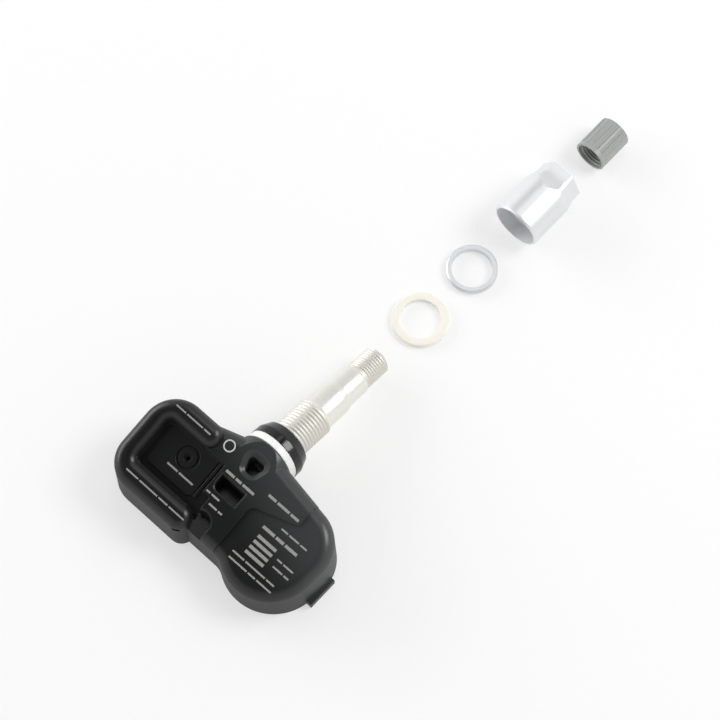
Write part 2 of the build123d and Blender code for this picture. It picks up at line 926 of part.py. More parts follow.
nodes = {
    "housing": housing,
    "potting_fill": potting_fill,
    "circuit_board": circuit_board,
    "battery_cell": battery_cell,
    "battery_tab_positive": battery_tab_positive,
    "battery_tab_negative": battery_tab_negative,
    "pressure_sensor_chip": pressure_sensor_chip,
    "pressure_port_gasket": pressure_port_gasket,
    "radio_chip": radio_chip,
    "crystal": crystal,
    "wake_coil_core": wake_coil_core,
    "wake_coil_winding": wake_coil_winding,
    "antenna_loop": antenna_loop,
    "capacitors": capacitors,
    "valve_stem": valve_stem,
    "valve_core_body": valve_core_body,
    "valve_core_gasket": valve_core_gasket,
    "valve_pin": valve_pin,
    "valve_seal_cup": valve_seal_cup,
    "valve_core_spring": valve_core_spring,
    "insulating_washer": insulating_washer,
    "rubber_grommet": rubber_grommet,
    "nylon_washer": nylon_washer,
    "clamp_ring": clamp_ring,
    "sleeve_nut": sleeve_nut,
    "dust_cap": dust_cap,
    "dust_cap_seal": dust_cap_seal,
}

os.makedirs("parts", exist_ok=True)
for name, build in nodes.items():
    export_step(build(), f"parts/{name}.step")
    print(name)
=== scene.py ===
# %% [markdown]
# # A tyre pressure sensor and its fixing pieces
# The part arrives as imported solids: a moulded housing on a valve stem, and a washer, a ring, a sleeve nut and
# a dust cap laid out beyond the stem's tip. This lesson gives each of them its finish, cuts the real screw
# threads into the metal and lights the row the way a product picture is lit.

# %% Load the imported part
import json
import math

import bmesh
import bpy
from mathutils import Matrix, Vector


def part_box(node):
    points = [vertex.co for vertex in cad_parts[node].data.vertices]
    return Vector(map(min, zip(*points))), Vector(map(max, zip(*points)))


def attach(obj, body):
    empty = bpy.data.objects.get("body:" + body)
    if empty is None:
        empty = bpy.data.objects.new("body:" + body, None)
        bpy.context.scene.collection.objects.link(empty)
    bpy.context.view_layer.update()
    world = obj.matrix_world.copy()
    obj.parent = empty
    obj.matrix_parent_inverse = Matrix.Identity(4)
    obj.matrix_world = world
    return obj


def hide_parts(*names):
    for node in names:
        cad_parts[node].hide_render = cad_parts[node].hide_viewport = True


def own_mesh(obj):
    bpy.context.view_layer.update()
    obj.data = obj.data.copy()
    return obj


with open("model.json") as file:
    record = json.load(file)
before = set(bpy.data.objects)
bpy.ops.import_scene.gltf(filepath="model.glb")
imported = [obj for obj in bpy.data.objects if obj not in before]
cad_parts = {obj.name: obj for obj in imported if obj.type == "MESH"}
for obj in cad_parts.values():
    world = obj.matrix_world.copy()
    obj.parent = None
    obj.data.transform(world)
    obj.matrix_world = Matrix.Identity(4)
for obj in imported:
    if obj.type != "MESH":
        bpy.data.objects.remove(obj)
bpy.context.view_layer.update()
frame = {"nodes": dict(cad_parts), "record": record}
solids = frame["nodes"]
scene = bpy.context.scene
MM = 0.001

# %% [markdown]
# ## Camera
# The picture was taken with a long lens from well above, so the row of pieces hardly shrinks with distance.
# A camera could be pointed with a constraint; here its place is worked out from two angles and an aim on the
# bench, because those three numbers are easy to read off a picture and to change.

# %% Camera
VIEW_TURN, VIEW_LIFT = math.radians(42.5), math.radians(69.5)  # round the row, and up from the bench
CAMERA_DISTANCE = 600  # mm
FOCAL_LENGTH, SENSOR_WIDTH = 116.1, 36.0  # mm
aim = Vector((-4.215, 42.763, 0.0)) * MM
to_camera = Vector((
    math.sin(VIEW_TURN) * math.cos(VIEW_LIFT),
    -math.cos(VIEW_TURN) * math.cos(VIEW_LIFT),
    math.sin(VIEW_LIFT),
))
lens = bpy.data.cameras.new("studio_camera")
lens.sensor_width = SENSOR_WIDTH
lens.lens = FOCAL_LENGTH
camera = bpy.data.objects.new("studio_camera", lens)
camera.location = aim + to_camera * CAMERA_DISTANCE * MM
camera.rotation_euler = (-to_camera).to_track_quat("-Z", "Y").to_euler()
scene.collection.objects.link(camera)
scene.camera = camera
print("camera", [round(c / MM) for c in camera.location])

# %% [markdown]
# ## Colours and nodes
# Colours are written as sRGB hex values, the way a colour picker shows them, and one function turns them to
# the linear values that shaders work in. One more function adds a node with its settings, its constants and
# its wires. Nodes could also be wired by hand in the editor, but a script shows at a glance what is in them.

# %% Colours and nodes
def linear(hex_colour):
    """Linear RGBA of an sRGB colour such as '#8c8c8c'."""
    values = [int(hex_colour[i:i + 2], 16) / 255 for i in (1, 3, 5)]
    return [v / 12.92 if v <= 0.04045 else ((v + 0.055) / 1.055) ** 2.4 for v in values] + [1.0]


def add(tree, kind, settings=None, values=None, wires=None):
    """Adds one node: settings are its options, values its constants, wires its incoming links."""
    made = tree.nodes.new(kind)
    for option, value in (settings or {}).items():
        setattr(made, option, value)
    for socket, value in (values or {}).items():
        made.inputs[socket].default_value = value
    for socket, source in (wires or {}).items():
        tree.links.new(source, made.inputs[socket])
    return made


print("black plastic in linear values", [round(c, 4) for c in linear("#202124")[:3]])

# %% [markdown]
# ## Grained surfaces
# Moulded, cast and blasted surfaces all have a fine grain that shifts their tone and gloss a little and, on
# plastics, their height. One noise texture drives all three, so that they agree with each other. It reads
# object coordinates, which are metres here: a grain of half a millimetre has a scale of one over 0.0005.

# %% Grained surfaces
MIX_A, MIX_B, MIX_COLOUR = 6, 7, 2  # the colour sockets of a Mix node
NOISE_LOW, NOISE_HIGH = 0.3, 0.7  # most of a noise texture lies between these


def grained(name, dark, light, grain_mm, rough, relief_mm=0.0, round_mm=0.0, **shader):
    """Material with a fine grain that shifts its tone, its gloss and its height, and soft edges if asked for."""
    material = bpy.data.materials.new(name)
    material.use_nodes = True
    tree = material.node_tree
    tree.nodes.clear()
    place = add(tree, "ShaderNodeTexCoord").outputs["Object"]
    grain = add(
        tree, "ShaderNodeTexNoise",
        values={"Scale": 1 / (grain_mm * MM), "Detail": 3.0, "Roughness": 0.55},
        wires={"Vector": place},
    ).outputs["Fac"]
    tone = add(
        tree, "ShaderNodeMix", {"data_type": "RGBA", "name": "tone"},
        {MIX_A: linear(dark), MIX_B: linear(light)}, {0: grain},
    )
    gloss = add(
        tree, "ShaderNodeMapRange", {"name": "gloss"},
        {"From Min": NOISE_LOW, "From Max": NOISE_HIGH, "To Min": rough[0], "To Max": rough[1]},
        {"Value": grain},
    )
    body = add(
        tree, "ShaderNodeBsdfPrincipled", {"name": "body"},
        {socket.replace("_", " "): value for socket, value in shader.items()},
        {"Base Color": tone.outputs[MIX_COLOUR], "Roughness": gloss.outputs["Result"]},
    )
    relief = add(tree, "ShaderNodeBump", values={"Distance": relief_mm * MM}, wires={"Height": grain})
    tree.links.new(relief.outputs["Normal"], body.inputs["Normal"])
    if round_mm:
        edge = add(tree, "ShaderNodeBevel", {"samples": 6}, {"Radius": round_mm * MM})
        tree.links.new(edge.outputs["Normal"], relief.inputs["Normal"])
    add(tree, "ShaderNodeOutputMaterial", {"name": "surface"}, wires={"Surface": body.outputs["BSDF"]})
    return material


print("colour sockets of a Mix node:", MIX_A, MIX_B, MIX_COLOUR)

# %% [markdown]
# ## Lines of a cutting tool
# A lathe tool leaves a very fine screw line round the work. It could be relief, but lines finer than a pixel
# turn into sparkle, so a wave texture makes bands of slightly duller metal instead.

# %% Lines of a cutting tool
WAVE_PERIOD = math.tau / 20  # a wave texture of scale 1 repeats at this distance


def tooled(material, spacing_mm, dulling, centre_mm=(0, 0, 0), tilt=0.0, **wave):
    """Adds the fine lines of a cutting tool as bands of duller metal, tilted about X by some degrees."""
    tree = material.node_tree
    place = add(tree, "ShaderNodeTexCoord").outputs["Object"]
    moved = add(
        tree, "ShaderNodeMapping", {"vector_type": "TEXTURE"},
        {"Location": [c * MM for c in centre_mm], "Rotation": (math.radians(tilt), 0, 0)}, {"Vector": place},
    )
    marks = add(
        tree, "ShaderNodeTexWave", wave,
        {"Scale": WAVE_PERIOD / (spacing_mm * MM), "Distortion": 1.5, "Detail": 2.0, "Detail Scale": 0.6},
        {"Vector": moved.outputs["Vector"]},
    )
    duller = add(
        tree, "ShaderNodeMath", {"operation": "MULTIPLY_ADD"}, {1: dulling},
        {0: marks.outputs["Fac"], 2: tree.nodes["gloss"].outputs["Result"]},
    )
    tree.links.new(duller.outputs["Value"], tree.nodes["body"].inputs["Roughness"])
    return material


print("wave scale of lines 0.2 mm apart:", round(WAVE_PERIOD / (0.2 * MM)))

# %% [markdown]
# ## Moulded plastics and rubber
# The housing is glass-filled nylon, injection moulded in a tool whose faces were spark eroded. That leaves a
# fine even grain, so the black is never a mirror: flat faces look charcoal, and walls seen at a low angle go
# grey as they pick up the bright bench. The real grain is about 0.1 mm; it is drawn at 0.3 mm, because finer
# would be lost between pixels. A painted texture could do the same, but noise needs no unwrapping. No moulded
# edge is truly sharp, so a Bevel node softens the small ones in the shading, and the mesh stays as it is.

# %% Moulded plastics and rubber
NYLON_IOR, RUBBER_IOR, STYRENE_IOR = 1.53, 1.52, 1.54
# charcoal black with a soft sheen along the rounded edges
housing_nylon = grained(
    "glass_filled_nylon_black", "#070809", "#0d0e0f", 0.3, (0.29, 0.36), 0.006, 0.2, IOR=NYLON_IOR,
)
# deep black from a polished tool, with small clear highlights
grommet_rubber = grained(
    "epdm_rubber_black", "#050609", "#0a0c10", 0.5, (0.15, 0.2), 0.001, 0.3, IOR=RUBBER_IOR,
)
# dull black, as small seals are
seal_rubber = grained("nitrile_rubber_black", "#141414", "#1d1d1d", 0.4, (0.5, 0.65), 0.006, IOR=RUBBER_IOR)
# clean white that glows a little where light enters its edge
white_nylon = grained(
    "moulded_nylon_white", "#f3f3f0", "#fafaf8", 0.6, (0.35, 0.45), 0.002,
    IOR=NYLON_IOR, Subsurface_Weight=0.2, Subsurface_Scale=0.6 * MM, Subsurface_Radius=(1.0, 1.0, 1.0),
)
# milky ivory, because light gets about a millimetre into uncoloured nylon
clear_nylon = grained(
    "natural_nylon_translucent", "#f2eee3", "#f6f3eb", 3.0, (0.3, 0.36),
    IOR=NYLON_IOR, Subsurface_Weight=0.5, Subsurface_Scale=1.2 * MM, Subsurface_Radius=(1.0, 0.95, 0.85),
)
# plain mid grey with a silky sheen along the ribs
cap_styrene = grained(
    "moulded_abs_grey", "#9c9e9b", "#a5a7a3", 0.5, (0.34, 0.42), 0.002, IOR=STYRENE_IOR,
)
print("plastics and rubber:", len(bpy.data.materials))

# %% [markdown]
# ## Painted sheen and walls of the housing
# The black is painted a lighter grey towards the neck: a painted sheen that stands in for light falling across
# the housing. Its steep walls are duller, because they rub along the tool when the piece is pushed out. Two
# painted masks could show that. Here the distance along the body and the way a face looks are enough.

# %% Painted sheen and walls of the housing
# painted sheen: along this way the housing's black turns to a lighter grey, standing in for light that falls
# across it
PAINTED_SHEEN_WAY = (0.404, 0.915, 0.0)  # level way across the body, to the neck and the lobe's far side
PAINTED_SHEEN_START, PAINTED_SHEEN_END = -12 * MM, 7 * MM  # where the change starts and ends along it
# lightest grey of the painted sheen
PAINTED_SHEEN_TONE = "#38393a"
WALL_STEEP, WALL_FLAT = 0.3, 0.8  # upward share of a normal on a steep face and on a flat one
WALL_DULLING = 0.25  # roughness that a steep face has beyond a flat one
housing_nodes = housing_nylon.node_tree
along = add(
    housing_nodes, "ShaderNodeVectorMath", {"operation": "DOT_PRODUCT"}, {1: PAINTED_SHEEN_WAY},
    {0: add(housing_nodes, "ShaderNodeTexCoord").outputs["Object"]},
)
# mask of the painted sheen along the body
painted_sheen_mask = add(
    housing_nodes, "ShaderNodeMapRange", {"interpolation_type": "SMOOTHSTEP"},
    {"From Min": PAINTED_SHEEN_START, "From Max": PAINTED_SHEEN_END}, {"Value": along.outputs["Value"]},
)
# the grain's tone with the painted sheen mixed in
tone_with_painted_sheen = add(
    housing_nodes, "ShaderNodeMix", {"data_type": "RGBA"}, {MIX_B: linear(PAINTED_SHEEN_TONE)},
    {0: painted_sheen_mask.outputs["Result"], MIX_A: housing_nodes.nodes["tone"].outputs[MIX_COLOUR]},
)
facing = add(
    housing_nodes, "ShaderNodeSeparateXYZ",
    wires={"Vector": add(housing_nodes, "ShaderNodeNewGeometry").outputs["Normal"]},
)
steep = add(
    housing_nodes, "ShaderNodeMapRange", None,
    {"From Min": WALL_STEEP, "From Max": WALL_FLAT, "To Min": WALL_DULLING, "To Max": 0.0},
    {"Value": facing.outputs["Z"]},
)
wall_gloss = add(
    housing_nodes, "ShaderNodeMath", {"operation": "ADD"},
    wires={0: housing_nodes.nodes["gloss"].outputs["Result"], 1: steep.outputs["Result"]},
)
moulding = housing_nodes.nodes["body"].inputs
housing_nodes.links.new(tone_with_painted_sheen.outputs[MIX_COLOUR], moulding["Base Color"])
housing_nodes.links.new(wall_gloss.outputs["Value"], moulding["Roughness"])
print("nodes in the housing's material:", len(housing_nodes.nodes))

# %% [markdown]
# ## Turned metal
# Stem, ring and nut are turned on a lathe. The real tool lines are some 0.05 mm apart. They are drawn 0.2 mm
# apart, because finer would be lost between pixels: across the axis for the stem and the nut, and round the
# middle for the flat ring. The stem is nickel plated and looks a little warm, the ring is bare aluminium, and
# the nut was anodised after a light blast, which makes it silky.

# %% Turned metal
STEM_TILT = -102.0  # degrees about X that turn up into the way of the stem
TOOL_LINES, TOOL_DULLING = 0.2, 0.04  # mm between lines, and how much rougher they are
# warm silver with long soft highlights
stem_nickel = tooled(
    grained("nickel_plated_turned_brass", "#ecebe4", "#f2f1ea", 0.8, (0.27, 0.32), Metallic=1.0),
    TOOL_LINES, TOOL_DULLING, tilt=STEM_TILT, bands_direction="Z",
)
# the same plating over cut flanks, which look duller and a little darker
thread_nickel = grained("nickel_plated_cut_thread", "#dedcd4", "#e6e4dc", 0.8, (0.54, 0.6), Metallic=1.0)
# cool, silky silver
nut_aluminium = tooled(
    grained("satin_anodised_aluminium", "#e6e8e9", "#eeeff0", 0.35, (0.36, 0.42), Metallic=1.0),
    TOOL_LINES, TOOL_DULLING, bands_direction="Y",
)
# light grey metal whose reflections the turning lines blur
ring_low, ring_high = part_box("clamp_ring")
ring_centre = (ring_low + ring_high) / 2 / MM
ring_aluminium = tooled(
    grained("bright_turned_aluminium", "#d6d7d9", "#e0e1e3", 0.6, (0.34, 0.4), Metallic=1.0),
    TOOL_LINES, TOOL_DULLING, ring_centre, wave_type="RINGS", rings_direction="Z",
)
# yellow metal at the bottom of the stem's tip
core_brass = tooled(
    grained("turned_brass", "#b8923f", "#d0ab57", 0.5, (0.22, 0.3), Metallic=1.0),
    TOOL_LINES, TOOL_DULLING, tilt=STEM_TILT, bands_direction="Z",
)
# grey wire, smooth from the drawing die
spring_steel = grained("drawn_spring_steel", "#8d8f92", "#a3a5a8", 0.2, (0.25, 0.35), Metallic=1.0)
print("metals:", [m.name for m in (stem_nickel, nut_aluminium, ring_aluminium, core_brass, spring_steel)])

# %% [markdown]
# ## Bore of the nut
# A boring tool leaves the inside of the nut rougher than the blasted outside, so light from the mouth spreads
# softly over the wall. A second material on the inner faces could show that. Here the shader finds them: a
# surface that looks towards the nut's axis is inside.

# %% Bore of the nut
BORE_DULLING = 0.4  # roughness that the inside has beyond the outside
INSIDE = -1 * MM  # below this a normal points to the axis from at least a millimetre away
ACROSS = Vector((1, 0, 1))  # leaves out the way of the axis, which is Y
nut_low, nut_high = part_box("sleeve_nut")
nut_nodes = nut_aluminium.node_tree
nut_gloss = nut_nodes.nodes["body"].inputs["Roughness"]
from_axis = add(
    nut_nodes, "ShaderNodeVectorMath", {"operation": "MULTIPLY_ADD"},
    {1: ACROSS, 2: -(nut_low + nut_high) / 2 * ACROSS},
    {0: add(nut_nodes, "ShaderNodeTexCoord").outputs["Object"]},
)
outward = add(
    nut_nodes, "ShaderNodeVectorMath", {"operation": "DOT_PRODUCT"},
    wires={0: from_axis.outputs["Vector"], 1: add(nut_nodes, "ShaderNodeNewGeometry").outputs["Normal"]},
)
bored = add(
    nut_nodes, "ShaderNodeMath", {"operation": "LESS_THAN"}, {1: INSIDE}, {0: outward.outputs["Value"]},
)
bore_gloss = add(
    nut_nodes, "ShaderNodeMath", {"operation": "MULTIPLY_ADD"}, {1: BORE_DULLING},
    {0: bored.outputs["Value"], 2: nut_gloss.links[0].from_socket},
)
nut_nodes.links.new(bore_gloss.outputs["Value"], nut_gloss)
print("nut's axis in mm:", [round(c / MM, 2) for c in (nut_low + nut_high) / 2 * ACROSS])

# %% [markdown]
# ## What is sealed inside
# Nothing of the electronics shows while the housing is closed, but each piece still gets the finish that a
# cut-away picture would show: green solder resist over glass cloth, black chip resin, copper enamel, nickel
# strip, fired ceramic. They differ only in tone, grain and gloss, so a table and a loop make them all.

# %% What is sealed inside
# dark and light tone, grain in mm, roughness, relief in mm, shader values
inner_finishes = {
    "epoxy_potting_black": ("#101011", "#1a1a1b", 4.0, (0.18, 0.3), 0.02, {"IOR": 1.55}),
    "solder_resist_green": ("#17502a", "#1f6636", 0.5, (0.3, 0.4), 0.01, {"IOR": 1.5}),
    "nickel_plated_steel": ("#b9b8b4", "#cccbc7", 0.6, (0.22, 0.3), 0.0, {"Metallic": 1.0}),
    "chip_resin_black": ("#17181a", "#232426", 0.15, (0.5, 0.62), 0.006, {"IOR": 1.55}),
    "sintered_ferrite": ("#2b2a2a", "#3a3938", 0.2, (0.55, 0.7), 0.01, {"IOR": 2.0}),
    "enamelled_copper": ("#8a4a22", "#b26a36", 0.12, (0.25, 0.35), 0.01, {"Metallic": 1.0}),
    "fired_ceramic_tan": ("#9c7d56", "#b39468", 0.2, (0.4, 0.5), 0.004, {"IOR": 1.7}),
}
inner = {
    name: grained(name, dark, light, grain, rough, relief, **shader)
    for name, (dark, light, grain, rough, relief, shader) in inner_finishes.items()
}
finish_of = {
    "housing": housing_nylon,
    "potting_fill": inner["epoxy_potting_black"],
    "circuit_board": inner["solder_resist_green"],
    "battery_cell": inner["nickel_plated_steel"],
    "battery_tab_positive": inner["nickel_plated_steel"],
    "battery_tab_negative": inner["nickel_plated_steel"],
    "pressure_sensor_chip": inner["chip_resin_black"],
    "pressure_port_gasket": seal_rubber,
    "radio_chip": inner["chip_resin_black"],
    "crystal": inner["nickel_plated_steel"],
    "wake_coil_core": inner["sintered_ferrite"],
    "wake_coil_winding": inner["enamelled_copper"],
    "antenna_loop": inner["nickel_plated_steel"],
    "capacitors": inner["fired_ceramic_tan"],
    "valve_stem": stem_nickel,
    "valve_core_body": core_brass,
    "valve_core_gasket": seal_rubber,
    "valve_pin": core_brass,
    "valve_seal_cup": seal_rubber,
    "valve_core_spring": spring_steel,
    "insulating_washer": white_nylon,
    "rubber_grommet": grommet_rubber,
    "nylon_washer": clear_nylon,
    "clamp_ring": ring_aluminium,
    "sleeve_nut": nut_aluminium,
    "dust_cap": cap_styrene,
    "dust_cap_seal": seal_rubber,
}
for name, solid in solids.items():
    solid.data.materials.clear()
    solid.data.materials.append(finish_of[name])
print("solids with a finish:", len(finish_of))

# %% [markdown]
# ## Screw threads
# A thread is a groove that climbs one pitch per turn. It could be a displaced cylinder, but then the crest
# would cut across the mesh and look like a saw. Here the rows of the mesh climb with the thread, so every
# crest and root is one clean line of edges. At both ends the rows are held at the thread's limits and the
# groove fades out, as it does where a die starts and stops.

# %% Rows of points round an axis
SEGMENTS = 96  # points in one turn
STEPS = 12  # rows in one pitch
GROOVE = 0.42  # half the groove's width as a share of the pitch


def spun(outline_mm):
    """One closed row of points round Z for each (radius, height) of an outline."""
    return [
        [(r * math.cos(math.tau * j / SEGMENTS), r * math.sin(math.tau * j / SEGMENTS), z)
         for j in range(SEGMENTS + 1)]
        for r, z in outline_mm
    ]


def threaded(start, end, pitch, radius, depth, fade):
    """Climbing rows of a thread that is cut inwards from a radius, in mm."""
    rows = []
    for i in range(round(((end - start) / pitch + 1) * STEPS) + 1):
        form = max(1 - abs(i / STEPS % 1 - 0.5) / GROOVE, 0.0)
        row = []
        for j in range(SEGMENTS + 1):
            z = start + (i / STEPS - 1 + j / SEGMENTS) * pitch
            ease = min(max(min((z - start) / fade[0], (end - z) / fade[1]), 0.0), 1.0)
            r = radius - depth * form * ease
            turn = math.tau * j / SEGMENTS
            row.append((r * math.cos(turn), r * math.sin(turn), min(max(z, start), end)))
        rows.append(row)
    return rows


def softened(outline_mm, size):
    """The same outline with every inner corner cut back a little on both sides."""
    made = [outline_mm[0]]
    for before, corner, after in zip(outline_mm, outline_mm[1:], outline_mm[2:]):
        for other in (before, after):
            way = Vector(other) - Vector(corner)
            cut = min(size, way.length / 3)
            made.append(tuple(Vector(corner) + way.normalized() * cut))
    return [*made, outline_mm[-1]]


print("points in one turn:", SEGMENTS, "rows in one pitch:", STEPS)

# %% [markdown]
# ## From rows to a piece
# Rows of points become faces, and points that fall together at the ends of a thread are welded, so that the
# mesh is closed. Blender's Screw modifier makes such forms too, but not a thread that fades out. The piece is
# placed by moving its points, which keeps its own axes those of the part.

# %% From rows to a piece
WELD = 1e-4 * MM  # points closer than this become one
CRISP = math.radians(28)  # edges sharper than this stay sharp


def piece_from_rows(name, rows, material, place, ring=True):
    """Mesh piece from rows of points in mm, welded where they meet, with crisp edges kept."""
    work = bmesh.new()
    grid = [[work.verts.new(Vector(p) * MM) for p in row] for row in rows]
    pairs = list(zip(grid, grid[1:])) + ([(grid[-1], grid[0])] if ring else [])
    for low, high in pairs:
        for j in range(len(low) - 1):
            work.faces.new((low[j], low[j + 1], high[j + 1], high[j]))
    bmesh.ops.remove_doubles(work, verts=work.verts, dist=WELD)
    bmesh.ops.dissolve_degenerate(work, edges=work.edges, dist=WELD)
    bmesh.ops.recalc_face_normals(work, faces=work.faces)
    work.transform(place)
    mesh = bpy.data.meshes.new(name)
    work.to_mesh(mesh)
    work.free()
    mesh.shade_smooth()
    mesh.set_sharp_from_angle(angle=CRISP)
    mesh.materials.append(material)
    piece = bpy.data.objects.new(name, mesh)
    scene.collection.objects.link(piece)
    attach(piece, "sensor")
    return piece


def axis_place(origin, way):
    """Matrix that puts a piece's Z axis along a way, with X kept level."""
    z = Vector(way).normalized()
    x = Vector((1, 0, 0))
    y = z.cross(x)
    return Matrix.Translation(origin) @ Matrix((x, y, z)).transposed().to_4x4()


print("welded within mm:", WELD / MM)

# %% [markdown]
# ## Valve stem
# The stem is one turned piece: an anchor inside the plastic, the coarse thread for the sleeve nut, two plain
# shanks and the fine thread that takes the dust cap. The solid has plain cylinders for its threads, so this
# piece stands for it, in the same place and at the same diameters, with the threads cut in. Their faces get a
# second, duller metal.

# %% Valve stem
mounts = {mount["name"]: mount for mount in frame["record"]["mounts"]}
stem_way = Vector(mounts["rim_thread"]["axis"])
RIM_MIDDLE = 12.15  # rim thread's middle, from the neck's end, mm
stem_seat = Vector(mounts["rim_thread"]["pos_m"]) - stem_way * RIM_MIDDLE * MM
RIM_THREAD = {"start": 7.0, "end": 17.3, "pitch": 1.0, "radius": 5.25, "depth": 0.2, "fade": (0.6, 0.9)}
CAP_THREAD = {"start": 33.3, "end": 41.0, "pitch": 0.8, "radius": 3.875, "depth": 0.17, "fade": (0.8, 0.4)}
SOFT_ANCHOR, SOFT_SHANK, SOFT_TIP = 0.12, 0.15, 0.1  # how far the corners are cut back, mm
# radius and height of each corner, mm
anchor = [
    (1.6, -3.2), (3.2, -3.2), (3.2, -1.8), (4.7, -1.8), (4.7, -0.8), (3.9, -0.8), (3.9, 0.0),
    (4.8, 0.0), (4.8, 7.0), (5.25, 7.0),
]
shanks = [(5.25, 17.3), (4.65, 18.2), (4.65, 25.0), (4.15, 26.8), (4.15, 32.9), (3.875, 33.3)]
tip_and_bore = [
    (3.875, 41.0), (3.175, 41.7), (2.65, 41.7), (2.65, 34.3), (2.0, 32.9), (2.0, 23.5), (1.6, 23.5),
]
stem = piece_from_rows(
    "turned_stem",
    spun(softened(anchor, SOFT_ANCHOR)) + threaded(**RIM_THREAD) + spun(softened(shanks, SOFT_SHANK))
    + threaded(**CAP_THREAD) + spun(softened(tip_and_bore, SOFT_TIP)),
    stem_nickel,
    axis_place(stem_seat, stem_way),
)
stem.data.materials.append(thread_nickel)
for face in stem.data.polygons:
    height = (face.center - stem_seat).dot(stem_way) / MM
    face.material_index = any(cut["start"] < height < cut["end"] for cut in (RIM_THREAD, CAP_THREAD))
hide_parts("valve_stem")
print("stem faces:", len(stem.data.polygons))

# %% [markdown]
# ## Spring under the pin
# A wire coil sits between the collar of the valve pin and the floor of the core, and closes when the pin is
# pushed in. A solid can't shorten, so this mesh coil stands for it: rings of points along a helix.

# %% Spring under the pin
STEM_TIP = 41.7  # from the neck's end, mm
SPRING_LOW, SPRING_HIGH = STEM_TIP - 13.0, STEM_TIP - 4.2  # floor of the core and collar of the pin, mm
SPRING_RADIUS, WIRE = 0.925, 0.3  # middle of the wire from the axis, and its diameter, mm
TURNS, TURN_STEPS, WIRE_SIDES = 7, 24, 10


def coiled():
    """Rings of points round the wire along the coil, closed by a point at both ends."""
    steps = TURNS * TURN_STEPS
    rings, middles = [], []
    for i in range(steps + 1):
        turn = math.tau * i / TURN_STEPS
        height = SPRING_LOW + WIRE / 2 + (SPRING_HIGH - SPRING_LOW - WIRE) * i / steps
        middles.append((SPRING_RADIUS * math.cos(turn), SPRING_RADIUS * math.sin(turn), height))
        ring = []
        for j in range(WIRE_SIDES + 1):
            side = math.tau * j / WIRE_SIDES
            r = SPRING_RADIUS + WIRE / 2 * math.cos(side)
            ring.append((r * math.cos(turn), r * math.sin(turn), height + WIRE / 2 * math.sin(side)))
        rings.append(ring)
    start, end = ([middle] * (WIRE_SIDES + 1) for middle in (middles[0], middles[-1]))
    return [start, *rings, end]


spring = piece_from_rows("wound_spring", coiled(), spring_steel, axis_place(stem_seat, stem_way), ring=False)
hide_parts("valve_core_spring")
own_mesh(spring)

# %% [markdown]
# ## Threads inside the nut and the cap
# Both have a plain bore in the solids. The bore could be rebuilt with its thread, as the stem was, but only the
# wall differs: a thin threaded sleeve, sunk a little into it, gives the ridges that catch the light inside.

# %% Threads inside the nut and the cap
SLEEVE_SINK = 0.05  # mm that a sleeve reaches into the wall behind it
NUT_THREAD = {"start": 5.1, "end": 12.4, "pitch": 1.0, "bore": 5.33, "height": 0.45}  # mm from the mouth
CAP_INNER_THREAD = {"start": 0.5, "end": 7.7, "pitch": 0.8, "bore": 3.955, "height": 0.4}


def inner_thread(name, node, start, end, pitch, bore, height, material, slot):
    """Threaded sleeve on the wall of a bore that runs along +Y from the node's mouth."""
    low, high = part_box(node)
    mouth = Vector(((low.x + high.x) / 2, low.y, (low.z + high.z) / 2))
    back = bore + SLEEVE_SINK
    rows = threaded(start, end, pitch, bore, height, (pitch, pitch)) + spun([(back, end), (back, start)])
    sleeve = piece_from_rows(name, rows, material, axis_place(mouth, (0, 1, 0)))
    print(name, "faces:", len(sleeve.data.polygons))
    return sleeve


inner_thread("nut_thread", "sleeve_nut", **NUT_THREAD, material=nut_aluminium, slot="nut_metal")
inner_thread("cap_thread", "dust_cap", **CAP_INNER_THREAD, material=cap_styrene, slot="cap_plastic")

# %% [markdown]
# ## Printing ink
# The housing carries pad-printed marks: one plain ring, and rows of plain bars. Ink could be painted in the
# housing's material, but a printed film has a real thickness of some hundredths of a millimetre and a clean
# edge, so each mark is a thin raised plate on its face.

# %% Printing ink
INK_IOR = 1.48
# dense white, a little uneven
ink_white = grained("pad_printing_ink_white", "#c2c2bf", "#d6d6d3", 0.25, (0.45, 0.6), 0.002, IOR=INK_IOR)
# the same ink in narrow bars, so thin that the black shows through and greys it
ink_thin = grained("pad_printing_ink_thin", "#8e8e8b", "#a2a29f", 0.25, (0.45, 0.6), 0.002, IOR=INK_IOR)
INK, INK_ROOT = 0.02, 0.01  # mm above the face and sunk into it


def printed(name, outlines, place, ink):
    """Thin ink plates from outlines in mm on a face; an outline inside another one is a hole."""
    work = bmesh.new()
    for outline in outlines:
        low = [work.verts.new(Vector((*p, -INK_ROOT)) * MM) for p in outline]
        for j, corner in enumerate(low):
            work.edges.new((corner, low[j - 1]))
    bmesh.ops.triangle_fill(work, edges=work.edges, use_beauty=True, normal=(0, 0, 1))
    raised = bmesh.ops.extrude_face_region(work, geom=work.faces[:])["geom"]
    corners = [item for item in raised if isinstance(item, bmesh.types.BMVert)]
    bmesh.ops.translate(work, verts=corners, vec=(0, 0, (INK + INK_ROOT) * MM))
    bmesh.ops.recalc_face_normals(work, faces=work.faces)
    work.transform(place)
    mesh = bpy.data.meshes.new(name)
    work.to_mesh(mesh)
    work.free()
    mesh.materials.append(ink)
    piece = bpy.data.objects.new(name, mesh)
    scene.collection.objects.link(piece)
    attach(piece, "sensor")
    print(name, "outlines:", len(outlines), "faces:", len(mesh.polygons))
    return piece


print("ink in mm:", INK + INK_ROOT)

# %% [markdown]
# ## Sloped faces
# The housing's face climbs towards the stem, and its panel also leans sideways. A mark could be projected on
# the solid, but each of these faces is flat, so a matrix per face puts a flat drawing exactly on it.

# %% Sloped faces
FACE_CLIMB, FACE_HEIGHT = 16.0, 19.0  # degrees, and mm over the origin
ARM_RAISE, PAD_DROP = 1.3, 2.7  # arms over the face and pad under it, mm
PANEL_X, PANEL_Y, PANEL_HEIGHT = 16.3, -11.4, 15.281  # middle of the sunk panel, mm
PANEL_CLIMB, PANEL_ROLL = 14.5, 2.6  # degrees


